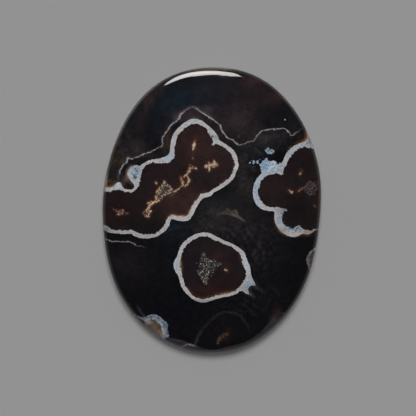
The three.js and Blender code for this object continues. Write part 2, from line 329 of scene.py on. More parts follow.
# Veins and flecks: a colour and a chain of points with half widths
BRIGHT = (200, 178, 154)
GILT = (196, 166, 130)
PALE = (178, 156, 138)
ORANGE = (156, 106, 74)
ROSE = (124, 99, 90)
DUSK = (84, 68, 62)
DIM_ORANGE = (112, 80, 61)
DIM_GOLD = (68, 53, 44)
LILAC = (84, 73, 78)
SMOKY = (46, 44, 52)
VEINS = [
    (ORANGE, [(194.8, 139.2, 0.4), (194.2, 141.6, 0.9)]),
    (BRIGHT, [(193.8, 142.6, 1), (193.5, 144.6, 1.6), (193.1, 146.4, 1.2), (192.8, 148.2, 0.7),
              (192.7, 149, 0.4)]),
    (DUSK, [(192.6, 150.6, 0.3), (192.8, 154, 0.4)]),
    (ROSE, [(192.6, 156.2, 0.5), (192.5, 158.4, 0.6)]),
    (BRIGHT, [(204.8, 166.4, 0.8), (206.2, 165.6, 1.2), (207.4, 166.2, 0.9)]),
    (BRIGHT, [(208.6, 161.9, 0.6), (208.8, 162.7, 0.6)]),
    (BRIGHT, [(208.8, 164.5, 0.9), (209.2, 165.7, 0.9)]),
    (BRIGHT, [(209.2, 168.1, 0.9), (209, 169.9, 0.7)]),
    (BRIGHT, [(211, 165, 0.8), (212.2, 164.2, 1)]),
    (BRIGHT, [(213.6, 160.4, 0.8), (213.6, 162.2, 1.1), (214.4, 163.6, 1.2)]),
    (BRIGHT, [(216.2, 163.9, 0.9), (216.7, 164.8, 0.8)]),
    (GILT, [(213.2, 165.6, 0.9), (213.9, 166, 0.8)]),
    (ORANGE, [(190, 166, 0.8), (190.8, 167.5, 0.9)]),
    (BRIGHT, [(192, 166.6, 0.7), (193, 167.3, 0.7)]),
    (BRIGHT, [(194.8, 167.4, 0.8), (195.8, 168.1, 0.8)]),
    (BRIGHT, [(190, 168.6, 0.6), (189, 170, 0.8), (187.6, 172.6, 0.8)]),
    (PALE, [(186.4, 174, 0.7), (184.8, 175.4, 0.7), (183.4, 176.4, 0.5)]),
    (ORANGE, [(180, 176, 0.6), (180.8, 178.8, 1.3), (181.4, 181, 1.4)]),
    (GILT, [(182.4, 180.4, 0.6), (182.2, 182.4, 1.2), (182.6, 184, 1)]),
    (BRIGHT, [(187.7, 177.4, 0.7), (188, 178.4, 0.8)]),
    (BRIGHT, [(188.1, 179.8, 1), (188.4, 180.9, 0.9)]),
    (PALE, [(189.6, 179.3, 0.6), (190.2, 179.7, 0.6)]),
    (BRIGHT, [(187.3, 183.1, 0.7), (186.4, 184.4, 0.7)]),
    (BRIGHT, [(185.2, 185.5, 0.7), (184.2, 186.3, 0.6)]),
    (PALE, [(182, 184.6, 0.6), (180, 186.5, 0.6), (177.6, 188.6, 0.6)]),
    (PALE, [(177.6, 188.6, 0.6), (175, 190.8, 0.7), (172.9, 191, 0.7)]),
    (PALE, [(171, 191.7, 0.5), (168, 192.9, 0.6), (164.6, 194.3, 0.5)]),
    (LILAC, [(175.4, 191.6, 0.6), (172.6, 193.7, 0.8), (169.4, 195.9, 0.6)]),
    (PALE, [(163.7, 180.4, 0.6), (163.9, 183, 0.7)]),
    (GILT, [(158.6, 187.8, 0.6), (156.4, 192, 0.7)]),
    (GILT, [(155.4, 196.4, 0.8), (155.6, 198.4, 0.8)]),
    (PALE, [(168.4, 185.6, 0.5), (171.4, 189.4, 0.6)]),
    (LILAC, [(160.2, 197.4, 0.8), (161.6, 198.6, 0.8)]),
    (ORANGE, [(155.5, 180.8, 0.6), (155.7, 181.5, 0.6)]),
    (BRIGHT, [(155.7, 182.2, 0.8), (155.9, 183.2, 0.7)]),
    (GILT, [(158.4, 200.5, 0.8), (156.2, 200.7, 0.9), (154.6, 200.8, 0.9)]),
    (BRIGHT, [(153.5, 201.4, 0.7), (151.9, 202.7, 0.9), (149.8, 204.8, 1)]),
    (BRIGHT, [(148.9, 206.3, 0.8), (147.7, 208.3, 0.9), (146.2, 210.5, 0.8)]),
    (GILT, [(147.6, 202.5, 0.6), (149.2, 201.8, 0.7), (150.6, 201.3, 0.6)]),
    (DIM_ORANGE, [(144.4, 210.4, 1), (143.6, 212.4, 1.5), (145, 215.2, 1.2)]),
    (BRIGHT, [(150.4, 210.2, 0.5), (149.4, 211.8, 0.8), (148.6, 213.4, 0.8)]),
    (BRIGHT, [(148.4, 215, 0.7), (148.1, 216.4, 0.7)]),
    (BRIGHT, [(146, 214.2, 0.7), (146.2, 216, 0.5)]),
    (ROSE, [(115.8, 210.4, 0.7), (118.2, 211.4, 1.1), (121.2, 212.2, 1.2), (122.8, 211.4, 0.8)]),
    (PALE, [(116.9, 213.6, 0.5), (119.4, 213.8, 0.6), (121.4, 213.2, 0.5)]),
    (PALE, [(122.2, 210, 0.5), (122.6, 211.8, 0.6)]),
    (DUSK, [(124.6, 213.9, 0.7), (125.4, 213.6, 0.7)]),
    (ROSE, [(126.4, 212.7, 0.7), (127, 212.7, 0.7)]),
    (PALE, [(300.3, 172.5, 0.6), (299.6, 173.6, 0.8)]),
    (ORANGE, [(288.3, 189.7, 0.7), (289.1, 190.5, 0.9)]),
    (PALE, [(290.1, 190.9, 0.9), (291.5, 191.6, 1.1)]),
    (PALE, [(297.5, 190.8, 0.3), (299.8, 189.2, 0.3)]),
    (ROSE, [(300.8, 188.6, 0.3), (303.8, 186.7, 0.4)]),
    (DUSK, [(300.2, 188.2, 0.4), (298.6, 187.2, 0.4)]),
    (DUSK, [(302.6, 187.8, 0.4), (304.4, 189.6, 0.4)]),
    (DUSK, [(314.2, 205.6, 1), (315.2, 206.6, 1)]),
    (PALE, [(225.2, 269.2, 0.8), (226.4, 270.2, 0.9)]),
    (SMOKY, [(136.8, 305.8, 0.7), (139.2, 309.8, 1.3), (141.6, 312.8, 1.6), (143.2, 315, 1.7)]),
    (DUSK, [(217, 343.4, 0.5), (217.6, 341, 0.8), (219, 338, 0.9)]),
    (DIM_GOLD, [(219.6, 337, 1.3), (222.6, 335, 1.4), (225.2, 333.8, 1.5), (227.6, 332.8, 1.1)]),
]

# Where a lace of fine threads is spun around the veins
LACE = [
    (GILT, [(163.6, 181.6, 1.4), (160, 187, 2.2), (157.4, 192, 2.4), (155.6, 197.6, 2)]),
    (PALE, [(165, 183, 1.6), (169.6, 187.6, 2), (170.4, 190.6, 1.8), (163, 194.6, 2), (159.6, 198, 2.2)]),
    (GILT, [(155.4, 199.8, 2), (151.4, 203.2, 2.2), (147.6, 207.8, 2), (146, 211.4, 1.8)]),
    (BRIGHT, [(205.4, 165.8, 2), (209, 165.4, 2), (214.4, 163.8, 2.6)]),
    (ROSE, [(111.6, 207.8, 1.2), (114.6, 209.4, 1.4), (118.6, 212, 3), (122, 211.6, 3), (125.4, 213, 1.2)]),
    (PALE, [(189, 168.6, 1.6), (184.6, 175.4, 1.4)]),
    (PALE, [(188.8, 178.8, 1.6), (186.4, 184.4, 1.4)]),
    (ORANGE, [(189.6, 165.6, 1.8), (191.6, 167.6, 1.6)]),
    (ROSE, [(297.6, 191, 0.9), (304, 187, 0.9)]),
    (DUSK, [(218, 340, 2), (226, 333.4, 2)]),
]

# Fine rings of crystal outlines: middle, radius, half width and strength
RINGS = [
    (310, 184.8, 3.4, 0.5, 0.65), (310.2, 184.6, 1.3, 0.4, 0.5), (309.4, 192.2, 2, 0.5, 0.65),
    (314, 187.6, 2.3, 0.4, 0.55), (306.4, 187.6, 1.6, 0.35, 0.5), (312.6, 192.6, 1.6, 0.35, 0.4),
    (315.4, 182.8, 1.6, 0.35, 0.35), (309.6, 187.8, 5.6, 0.3, 0.3), (300.6, 170.2, 1.7, 0.35, 0.35),
]

# Soft spots of colour: middle, half widths, strength and colour
MATRIX_COLOR = (14, 14, 16)
MATRIX_SPOTS = [
    (180, 100, 44, 24, 0.95, (24, 29, 35)), (178, 98, 10, 9, 0.7, (20, 31, 40)),
    (170, 106, 9, 10, 0.6, (20, 30, 36)), (205, 90, 14, 9, 0.5, (32, 35, 42)),
    (228, 88, 24, 18, 0.85, (30, 28, 34)), (262, 96, 28, 22, 0.95, (33, 27, 28)),
    (284, 84, 8, 9, 0.6, (42, 27, 30)), (252, 80, 10, 6, 0.85, (50, 37, 38)),
    (260, 90, 6, 5, 0.5, (40, 30, 33)), (277, 96, 7, 5, 0.7, (48, 38, 34)),
    (238, 120, 20, 16, 0.95, (46, 38, 40)), (252, 108, 12, 10, 0.5, (36, 28, 31)),
    (250, 132, 12, 7, 0.6, (42, 35, 36)), (128, 136, 16, 27, 0.95, (30, 27, 29)),
    (137, 148, 9, 7, 0.8, (47, 40, 42)), (134, 120, 8, 10, 0.3, (40, 31, 33)),
    (122, 150, 6, 8, 0.5, (44, 36, 36)), (143, 98.5, 6, 4.5, 0.8, (46, 37, 32)),
    (135, 111, 5, 7, 0.8, (30, 29, 34)), (131, 122, 5, 7, 0.8, (21, 21, 27)),
    (157, 91, 6, 4, 0.7, (44, 33, 36)), (150.5, 98.5, 3.2, 6, 0.85, (50, 38, 36)),
    (145.6, 107.5, 2.4, 6, 0.8, (46, 35, 35)), (141.2, 118.5, 3, 8, 0.65, (40, 30, 33)),
    (156, 130, 10, 14, 0.7, (22, 24, 32)), (114, 162, 6, 11, 0.9, (44, 36, 28)),
    (122.5, 161, 4, 4, 0.85, (60, 50, 44)), (117, 175, 7, 5, 0.85, (32, 31, 34)),
    (190, 113, 15, 5, 0.95, (50, 40, 42)), (167, 140, 5, 15, 0.9, (45, 37, 32)),
    (150, 155, 14, 3.5, 0.85, (38, 34, 35)), (210, 120, 9, 6, 0.7, (46, 36, 38)),
    (228, 142, 9, 5, 0.7, (32, 27, 29)), (243, 170, 12, 30, 0.9, (33, 32, 32)),
    (248, 190, 8, 14, 0.5, (38, 36, 34)), (222, 214, 28, 20, 0.92, (35, 33, 35)),
    (213, 212, 5, 3, 0.5, (46, 44, 45)), (241, 211, 6, 6, 0.7, (25, 22, 24)),
    (251, 218, 5, 4, 0.5, (23, 21, 23)), (206, 226, 14, 6, 0.6, (40, 38, 37)),
    (252, 228, 20, 20, 0.85, (30, 27, 30)), (266, 138, 13, 7, 0.95, (46, 42, 42)),
    (280, 134, 10, 4, 0.5, (46, 44, 43)), (258, 150, 12, 8, 0.6, (32, 31, 34)),
    (281, 116, 18, 9, 0.95, (22, 21, 26)), (260, 157, 8, 4, 0.75, (17, 20, 31)),
    (280, 142, 9, 6, 0.7, (25, 24, 30)), (262, 116, 8, 7, 0.75, (20, 20, 22)),
    (252, 168, 5, 8, 0.6, (22, 20, 26)), (218, 132, 5, 7, 0.7, (44, 35, 36)),
    (182, 119.5, 6, 3, 0.7, (52, 37, 39)), (294, 128, 6, 7, 0.6, (34, 31, 33)),
    (300, 136, 6, 4, 0.5, (40, 30, 26)), (172, 230, 20, 12, 0.92, (20, 24, 31)),
    (167, 228, 5, 4, 0.6, (24, 34, 46)), (168, 262, 6, 20, 0.6, (18, 20, 26)),
    (128, 262, 22, 20, 0.9, (26, 22, 25)), (120, 262, 8, 4, 0.5, (32, 25, 27)),
    (135, 274, 10, 4, 0.4, (28, 23, 26)), (262, 258, 20, 20, 0.6, (24, 22, 25)),
    (280, 250, 12, 14, 0.3, (22, 21, 24)), (168, 312, 40, 18, 0.6, (12, 12, 19)),
    (222, 330, 20, 15, 0.8, (18, 16, 19)), (228, 329, 4, 3, 0.6, (32, 20, 22)),
    (224, 338, 5, 3, 0.7, (36, 26, 21)), (276, 313, 4, 5, 0.85, (50, 33, 38)),
    (274, 319, 3.4, 3, 0.7, (62, 55, 60)), (268, 296, 14, 12, 0.6, (20, 19, 21)),
    # The spot at (211, 69) is painted reflection: a paler olive-grey band along the top edge
    (286, 240, 10, 5, 0.7, (17, 18, 22)), (211, 69, 30, 3, 0.8, (60, 58, 53)),
    (160, 86, 8, 3, 0.4, (44, 36, 34)), (125.6, 179.2, 2.8, 2.8, 0.9, (90, 73, 67)),
    (109, 180.6, 4, 2.6, 0.6, (72, 56, 46)), (206, 109, 8, 4, 0.75, (58, 51, 54)),
    (175, 116, 4, 4, 0.4, (64, 62, 67)),
]
HEART_COLOR = (31, 24, 25)
HEART_SPOTS = [
    (180, 208, 12, 8, 0.6, (56, 37, 36)), (198, 145, 24, 22, 0.95, (49, 34, 33)),
    (192, 132, 8, 4, 0.5, (38, 27, 28)), (222, 165, 16, 18, 0.85, (42, 31, 32)),
    (226, 154, 8, 8, 0.4, (46, 33, 34)), (182, 200, 24, 16, 0.95, (50, 35, 33)),
    (158, 168, 12, 6, 0.7, (36, 26, 28)), (150, 178, 14, 9, 0.7, (34, 26, 29)),
    (170, 172, 10, 6, 0.6, (38, 27, 30)), (116, 212, 14, 14, 0.85, (32, 20, 21)),
    (110, 198, 8, 6, 0.6, (36, 24, 28)), (146, 225, 18, 9, 0.9, (21, 20, 22)),
    (132, 218, 10, 10, 0.6, (24, 20, 22)), (212, 178, 14, 8, 0.6, (35, 28, 31)),
    (272, 190, 14, 14, 0.95, (37, 27, 28)), (268, 182, 8, 5, 0.4, (42, 28, 31)),
    (300, 160, 14, 12, 0.85, (27, 20, 22)), (298, 210, 14, 14, 0.95, (21, 18, 20)),
    (318, 196, 3.5, 14, 0.8, (44, 26, 24)), (314, 182, 5, 8, 0.6, (32, 21, 22)),
    (192, 262, 12, 20, 0.85, (27, 23, 27)), (216, 248, 14, 7, 0.8, (31, 28, 28)),
    (217, 256, 9, 4.5, 0.7, (48, 31, 31)), (226, 264, 6, 5, 0.5, (44, 30, 31)),
    (205, 289, 22, 7, 0.9, (40, 25, 25)), (238, 283, 5, 5, 0.5, (36, 21, 28)),
    (154, 327, 12, 12, 1, (88, 76, 64)), (147.6, 321, 5, 3, 0.95, (128, 120, 124)),
    (153, 320.4, 2.4, 2.4, 0.6, (78, 66, 50)), (155.6, 323.4, 2.6, 2.6, 0.8, (84, 72, 56)),
    (159, 327, 2.6, 2.4, 0.95, (66, 54, 40)), (149.8, 325.4, 2.6, 1.4, 0.9, (84, 66, 64)),
    (153.6, 328.4, 2.8, 1.6, 0.9, (102, 80, 75)), (158, 331.6, 2.8, 1.6, 0.85, (122, 90, 80)),
    (162, 335, 3.4, 4.4, 0.95, (120, 112, 110)), (156, 338, 5, 3.4, 0.9, (104, 94, 93)),
    (313, 257, 6, 9, 1, (62, 52, 46)),
]
BAND_COLOR = (173, 170, 170)
BAND_SPOTS = [
    (134.5, 171, 6, 7, 0.95, (130, 152, 172)), (117, 184.5, 4, 3, 0.7, (164, 178, 196)),
    (169, 156.5, 7, 4.5, 0.8, (150, 172, 192)), (192, 121.5, 10, 4, 0.45, (160, 172, 186)),
    (270, 166, 12, 8, 0.95, (158, 174, 188)), (263, 165.5, 4.5, 6, 0.9, (116, 145, 172)),
    (266, 159.5, 3, 3, 0.8, (120, 150, 182)), (268, 149, 7, 6, 1, (104, 128, 146)),
    (253, 161, 7, 4, 1, (124, 148, 172)), (256.5, 190, 5, 16, 0.75, (150, 168, 188)),
    (262, 178, 5, 5, 0.5, (160, 176, 192)), (280.6, 217, 5, 8, 0.9, (126, 140, 156)),
    (284, 209.6, 5, 3, 1, (106, 114, 119)), (292, 228, 11, 3.5, 0.9, (116, 130, 146)),
    (304, 143, 8, 4.5, 0.9, (150, 162, 174)), (309, 138, 4, 7, 0.8, (112, 114, 116)),
    (249, 286, 8, 8, 0.9, (120, 116, 120)), (248, 282, 4.6, 4, 0.9, (165, 178, 186)),
    (248.4, 283.4, 2.2, 1.8, 0.95, (100, 138, 170)), (236, 163, 4, 6, 0.9, (190, 184, 182)),
    (246, 262, 4, 8, 0.8, (178, 186, 196)), (174, 264, 4, 12, 0.75, (158, 174, 194)),
    (205, 302, 34, 4, 0.8, (132, 132, 131)), (148, 236, 30, 5, 0.6, (150, 149, 149)),
    (147, 316.5, 5, 4, 1, (92, 98, 108)), (153, 315.5, 5, 3, 1, (88, 100, 116)),
    (160, 318.6, 5, 4, 1, (94, 110, 130)), (165, 325, 4, 6, 1, (84, 100, 116)),
    (167, 332, 3, 6, 1, (70, 86, 100)), (141, 318.5, 4, 3, 1, (92, 84, 88)),
    (136, 316, 3, 3, 1, (70, 62, 66)), (164, 338, 5, 5, 0.9, (110, 108, 114)),
    (308, 257, 7, 12, 1, (86, 78, 83)), (311, 267, 4.4, 5.4, 1, (46, 43, 50)),
    (284.3, 119, 3, 3, 1, (176, 170, 168)), (311, 231, 6, 4, 0.9, (128, 116, 108)),
    (317, 229, 3, 3, 0.9, (92, 78, 80)), (116, 230.5, 15, 4, 0.7, (142, 141, 142)),
    (106, 229, 4, 5, 0.9, (112, 110, 112)), (194, 206, 5, 8, 0.6, (190, 188, 184)),
    (214, 189.6, 6, 3, 0.6, (188, 184, 178)), (300, 233, 8, 2, 0.5, (160, 152, 142)),
    (306, 231.6, 4, 3, 0.85, (132, 120, 112)), (282, 230, 5, 2.6, 0.8, (140, 128, 122)),
    (277.5, 209, 4, 2.5, 0.7, (148, 144, 140)), (289, 152, 6, 6, 0.7, (150, 162, 170)),
    (296, 146.4, 4, 3, 0.5, (156, 160, 166)), (217, 136.4, 2.4, 3, 0.9, (122, 123, 126)),
    (280, 166, 6, 5, 0.7, (146, 152, 160)), (213, 138, 5, 5, 0.4, (160, 168, 176)),
]

# Where thin translucent quartz glows next to a band, on the heart's side of it or on the
# matrix's side: middle, half widths, strength and colour
HEART_GLOW = [
    (180, 213, 15, 6, 1, (88, 55, 42)), (196, 199, 6, 7, 0.8, (80, 54, 44)),
    (235, 168, 4, 9, 0.5, (76, 52, 44)), (225, 181, 7, 4, 0.5, (78, 54, 44)),
    (204, 192, 8, 4, 0.45, (76, 50, 42)), (222, 292, 12, 4, 0.85, (102, 66, 40)),
    (204, 297, 10, 4, 0.6, (84, 54, 40)), (190, 291, 6, 5, 0.5, (78, 50, 40)),
    (242, 254, 4, 8, 0.55, (84, 62, 48)), (179.5, 266, 3, 6, 0.7, (114, 90, 72)),
]
MATRIX_GLOW = [
    (282, 231, 6, 5, 0.75, (80, 56, 44)), (276, 222, 3, 8, 0.7, (80, 56, 44)),
    (306, 234, 8, 3.5, 0.7, (74, 52, 42)), (303.4, 136.5, 6, 5, 1, (134, 78, 46)),
    (307.5, 131, 2.5, 5, 1, (104, 62, 36)), (296, 141.5, 5, 2.5, 0.7, (80, 52, 38)),
    (289, 147, 5, 3, 0.55, (86, 66, 54)), (107, 182, 7, 5, 1, (128, 92, 62)),
    (112, 184, 5, 2, 0.9, (116, 88, 68)), (125.6, 174, 4, 8, 1, (106, 88, 80)),
    (126, 183.4, 7, 2.6, 0.85, (90, 72, 64)), (130, 165.5, 3, 2, 0.6, (98, 86, 84)),
    (178, 236, 6, 8, 0.3, (46, 56, 72)), (194, 116, 10, 3, 0.6, (86, 74, 70)),
    (254, 284, 4, 6, 0.35, (52, 60, 78)), (253, 291, 8, 5, 0.6, (70, 66, 68)),
]

# Places where that glow turns to cream at the band itself, on the two sides
HEART_CREAM = [
    (178, 214, 13, 3, 0.9, (186, 160, 136)), (192, 205, 3.5, 7, 1, (190, 172, 158)),
    (224, 292, 10, 3, 0.4, (180, 150, 120)), (180, 264, 2, 5, 0.5, (184, 166, 146)),
]
MATRIX_CREAM = [
    (105, 184, 6, 4, 0.9, (190, 166, 140)), (112, 185.5, 5, 2, 0.5, (186, 166, 146)),
    (127, 173, 3, 6, 0.8, (182, 166, 152)), (304, 139, 4, 3, 0.4, (180, 150, 124)),
    (282, 231, 10, 5, 0.3, (170, 146, 128)),
]

# Between which distances from a band's edge the amber and the cream fade, in millimetres
GLOW_REACHES = {"_glow": (0.02, 0.6), "_cream": (0.0, 0.22)}

# Where the black matrix is granular, and by how much
GRAIN_SPOTS = [
    (234, 232, 34, 12, 1), (212, 212, 10, 14, 0.8), (246, 172, 12, 26, 0.9), (254, 248, 18, 24, 0.8),
    (268, 138, 20, 10, 0.7), (122, 150, 16, 24, 0.7), (165, 146, 12, 14, 0.5), (250, 300, 30, 16, 0.32),
    (180, 228, 14, 8, 0.5), (238, 120, 22, 16, 0.45), (205, 226, 26, 6, 0.9), (224, 140, 10, 8, 0.5),
]

# The dull fog on the upper line's outer side: middle, half widths, strength and colour
FOG_SPOTS = [
    (194, 104, 9, 8, 1, (84, 84, 92)), (208, 112, 9, 7, 0.9, (88, 80, 80)),
    (175, 113.5, 6.5, 6, 1, (112, 112, 120)), (168, 126, 6, 8, 0.3, (62, 60, 64)),
    (127, 155, 8, 6, 0.9, (70, 66, 68)), (135, 154, 8, 5, 0.5, (66, 62, 64)),
    (118, 172, 5, 6, 0.5, (66, 64, 68)), (160, 142, 4, 6, 0.3, (60, 58, 62)),
]

# How far from the line the fog reaches, in millimetres
FOG_REACH = 0.5

GLOWS = {
    "heart_glow": HEART_GLOW, "matrix_glow": MATRIX_GLOW, "heart_cream": HEART_CREAM,
    "matrix_cream": MATRIX_CREAM, "fog": FOG_SPOTS,
}

# Faint smoky strokes in the matrix: points with half widths, then the strength
SMOKE = [
    ([(244.4, 221.2, 0.2), (241, 218.4, 0.7), (237.4, 216, 1.1), (233.4, 214.6, 1.2)], 1),
    ([(233.4, 214.6, 1), (229, 213.6, 0.4), (224.4, 213, 0.4), (221.6, 212.3, 0.6)], 0.9),
    ([(237.4, 215.4, 0.6), (236.2, 211.8, 0.7), (234.8, 209.8, 0.7)], 0.95),
    ([(232.6, 214.4, 0.4), (232.4, 211, 0.5), (234.4, 209.6, 0.5)], 0.8),
    ([(234.4, 211.4, 0.6), (234.8, 213.8, 1)], 0.6),
    ([(231.6, 212.8, 0.4), (228.6, 209.6, 0.6), (225.8, 208.2, 0.5)], 0.65),
    ([(230.6, 213, 0.4), (226, 211, 0.5), (223.6, 210.8, 0.3)], 0.6),
    ([(219.8, 213, 0.4), (217, 214, 0.5)], 0.6),
    ([(246, 228.4, 1), (248.8, 232.8, 1.3)], 0.22),
    ([(254, 285, 0.5), (257, 287.5, 0.7), (261.7, 290.9, 0.5)], 0.32),
    ([(251.4, 294.6, 0.5), (254, 297.2, 0.5)], 0.24),
    ([(271, 286, 0.5), (275.6, 289.6, 0.7), (278.6, 294.6, 0.6)], 0.1),
    ([(238, 303, 0.5), (245, 305.6, 0.7), (251, 310.6, 0.6), (256, 316, 0.4)], 0.1),
    ([(254, 148, 1), (262, 154, 0.8)], 0.15),
    ([(238, 135.6, 0.4), (238.4, 136.2, 0.4)], 0.8),
]

# Width of those strokes' soft edges, in pixels
SMOKE_SOFTNESS = 1.5

# Colours that are the same all over the stone
SMOKE_COLOR = (104, 94, 88)
STIPPLE_COLOR = (52, 49, 52)
RING_COLOR = (112, 102, 100)
SPECK_COLOR = (52, 60, 70)
RUST_COLOR = (92, 56, 36)
GROUND_COLOR = (44, 42, 44)
DOT_COLOR = (15, 12, 14)
BLUE_DOT_COLOR = (96, 108, 122)

# Strength of the coloured speckle in the dark parts
TINGE = 0.003

# A painted reflection on the shoulder along the lower edge, a paler purple-grey band: its outline, and its
# colours
LOWER_REFLECTION = [
    (166, 337), (172, 337.8), (180, 339.4), (189, 342.4), (195, 344.3), (201, 347.3), (208, 349),
    (213, 349.3), (218, 348.6), (225, 346.8), (235.5, 344.4), (246, 340.8), (255, 335.4), (262.5, 328.8),
    (268.5, 322), (272.3, 317.5), (275.4, 314.2), (279, 311.6), (292, 318), (270, 360), (212, 380),
    (150, 362), (158, 345),
]
LOWER_REFLECTION_COLOR = (44, 40, 45)
LOWER_REFLECTION_SPOTS = [
    (186, 345, 5, 2, 0.7, (66, 60, 64)), (212, 351.5, 12, 2.5, 0.8, (60, 52, 55)),
    (228, 349.5, 8, 3, 0.8, (60, 48, 52)), (240, 346, 6, 3, 0.5, (46, 38, 42)),
    (254, 339, 6, 4, 0.6, (54, 48, 52)), (266, 328.5, 5, 5, 0.5, (48, 46, 52)),
    (274, 320, 4, 3, 0.7, (60, 52, 57)), (279, 314.6, 4, 3, 0.9, (34, 24, 27)),
    (247, 343.6, 3, 2, 0.4, (60, 48, 50)), (174, 341, 7, 3, 0.7, (50, 47, 56)),
]

# A painted reflection, a paler olive rim on the shoulder's edge along the upper side: how far it reaches
# in, in millimetres, by azimuth
RIM_REFLECTION_REACH = [
    (0, -0.3), (40, -0.3), (46, 0.2), (54, 0.4), (60, 0.3), (66, 0.22), (78, 0.14), (84, 0.48), (88, 0.44),
    (98, 0.4), (105, 0.2), (113, 0.4), (128, 0.5), (140, 0.44), (150, 0.25), (158, 0.35), (166, 0.5),
    (172, 0.3), (179, -0.3), (360, -0.3),
]
RIM_REFLECTION_COLOR = (92, 88, 79)
RIM_REFLECTION_SPOTS = [
    (106, 181, 6, 7, 1, (146, 122, 98)), (150, 80, 12, 8, 0.6, (98, 84, 74)),
    (223, 66, 10, 5, 0.8, (126, 122, 112)), (246, 71, 9, 6, 0.8, (92, 74, 62)),
]

# Colours that change over the stone: the ground and the soft spots on it
GROUNDS = {
    "matrix": (MATRIX_COLOR, MATRIX_SPOTS),
    "heart": (HEART_COLOR, HEART_SPOTS),
    "band": (BAND_COLOR, BAND_SPOTS),
    "lower_reflection": (LOWER_REFLECTION_COLOR, LOWER_REFLECTION_SPOTS),
    "rim_reflection": (RIM_REFLECTION_COLOR, RIM_REFLECTION_SPOTS),
    "druse": (DRUSE_COLOR, DRUSE_SPOTS),
}

# The edges of the pattern's parts: the noises that make each one ragged, as features per
# millimetre, size in millimetres and detail, and where it starts and is complete
EDGES = {
    "rind": ([(1.3, 0.06, 2.0), (4.5, 0.28, 3.0)], (-0.03, 0.05)),
    "heart": ([(5.5, 0.28, 3.0)], (-0.04, 0.04)),
    "druse": ([(3.2, 0.55, 4.0)], (-0.08, 0.1)),
    "speck": ([(6.0, 0.2, 2.0)], (-0.07, 0.02)),
    "vein": ([(3.6, 0.6, 4.0)], (-0.05, 0.05)),
    "lace": ([(3.0, 0.4, 2.0)], (-0.04, 0.14)),
    "lower_reflection": ([(2.5, 0.15, 3.0)], (-0.04, 0.05)),
    "rim_reflection": ([(2.2, 0.3, 3.0)], (-0.12, 0.34)),
}

# The least width, in millimetres, that places a band's seam, and how far the colours of the
# specks and of the ground back cover what is under them
THINNEST_BAND = 0.05
SPECK_STRENGTH = 0.85
GROUND_STRENGTH = 0.35

# The polish, how much rougher the druse and the back are, and their bumps in millimetres
QUARTZ_IOR = 1.54
POLISH = 0.05
DRUSE_ROUGHNESS = 0.3
BACK_ROUGHNESS = 0.3
BUMP_STRENGTH = 0.5
BUMP_HEIGHT = 0.04

# Layout of the baked map in millimetres: the dome, the back and two strips for the sides
MAP_SIDE = 69.0
DOME_PLACE = (18.5, 28.0)
BACK_PLACE = (52.0, 28.0)
STRIP_PLACES = (56.0, 62.0)
STRIP_START = 1.5

# The table, in metres, and the suns that light it and the stone's body: name, azimuth,
# elevation and angle in degrees, and watts per square metre
TABLE_HALF = 3.0
TABLE_ALBEDO = 0.30
TABLE_ROUGHNESS = 0.9
SUNS = [("key", 89, 67.5, 25, 2.33), ("overhead", 0, 90, 14, 0.60), ("fill", 0, 90, 170, 0.25)]

# The softbox that makes the highlight on the shoulder: its outline in degrees of azimuth and
# elevation as seen from SOFTBOX_AIM, its middle, and its brightness there and at its edge
SOFTBOX = [
    (74.2, 40), (76.2, 30), (79, 23), (86, 22), (88.4, 17.5), (93, 12), (98, 8.5), (102, 5), (108, 4),
    (113, 10), (118, 22), (121, 40), (118.6, 48.6), (110, 53.6), (105, 54.8), (102, 57), (99.5, 58.8),
    (95, 59.2), (89, 58.6), (85.6, 60), (79, 59.2), (75.6, 54), (73.4, 46),
]
SOFTBOX_MIDDLE = (96, 36)
SOFTBOX_AIM = (-0.001, 0.0184, 0.004)
SOFTBOX_DISTANCE = 0.8
SOFTBOX_RADIANCE = (17.0, 11.0)
SOFTBOX_COLOR = (1.0, 0.955, 0.93)

# The room's light at the horizon, above it and overhead, and the heights between which it
# changes, where the horizon is 0 and overhead is 1
HORIZON_LIGHT = 0.07
ROOM_LIGHT = 0.035
ZENITH_LIGHT = 0.012
HORIZON_EDGE = (0.10, 0.22)
ZENITH_EDGE = (0.4, 0.8)


def linear(color):
    """A colour as it shows on a screen, 0 to 255, as linear light from 0 to 1."""
    share = np.asarray(color, float) / 255
    return np.where(share <= 0.04045, share / 12.92, ((share + 0.055) / 1.055) ** 2.4)


def girdle_radius(angle):
    """Distance from the middle of the oval to its widest edge."""
    across = np.abs(np.cos(angle) / HALF_WIDTH) ** SQUARENESS
    along = np.abs(np.sin(angle) / HALF_LENGTH) ** SQUARENESS
    hand = LEAN * np.sin(2 * angle) + HEEL * np.sin(3 * angle) + CORNERS * np.sin(4 * angle)
    flats = FLATS * np.cos(7 * angle - FLATS_TURN)
    return (across + along) ** (-1 / SQUARENESS) * (1 + hand + flats)


def oval_offset():
    """How far the middle of the oval's box lies from the point that its radii start at."""
    angle = np.linspace(0, 2 * np.pi, OVAL_STEPS)
    oval = girdle_radius(angle) * np.array([np.cos(angle), np.sin(angle)])
    return (oval.min(1) + oval.max(1)) / 2


def shoulder_point(slope):
    """Inset and height of the shoulder's arc where the surface has that slope."""
    inset = WALL_TOP[0] + SHOULDER_RADIUS * (math.sin(WALL_SLOPE) - np.sin(slope))
    height = WALL_TOP[1] + SHOULDER_RADIUS * (np.cos(slope) - math.cos(WALL_SLOPE))
    return inset, height


def dome_foot_slope(radius, thickness):
    """The slope at which a dome that leaves the shoulder without a crease has the full height."""
    flat = np.full_like(radius, FLATTEST_FOOT)
    steep = np.full_like(radius, STEEPEST_FOOT)
    for _ in range(SEARCH_STEPS):
        slope = (flat + steep) / 2
        inset, height = shoulder_point(slope)
        too_high = height + np.tan(slope) * (radius - inset) / 2 > thickness
        steep = np.where(too_high, slope, steep)
        flat = np.where(too_high, flat, slope)
    return (flat + steep) / 2


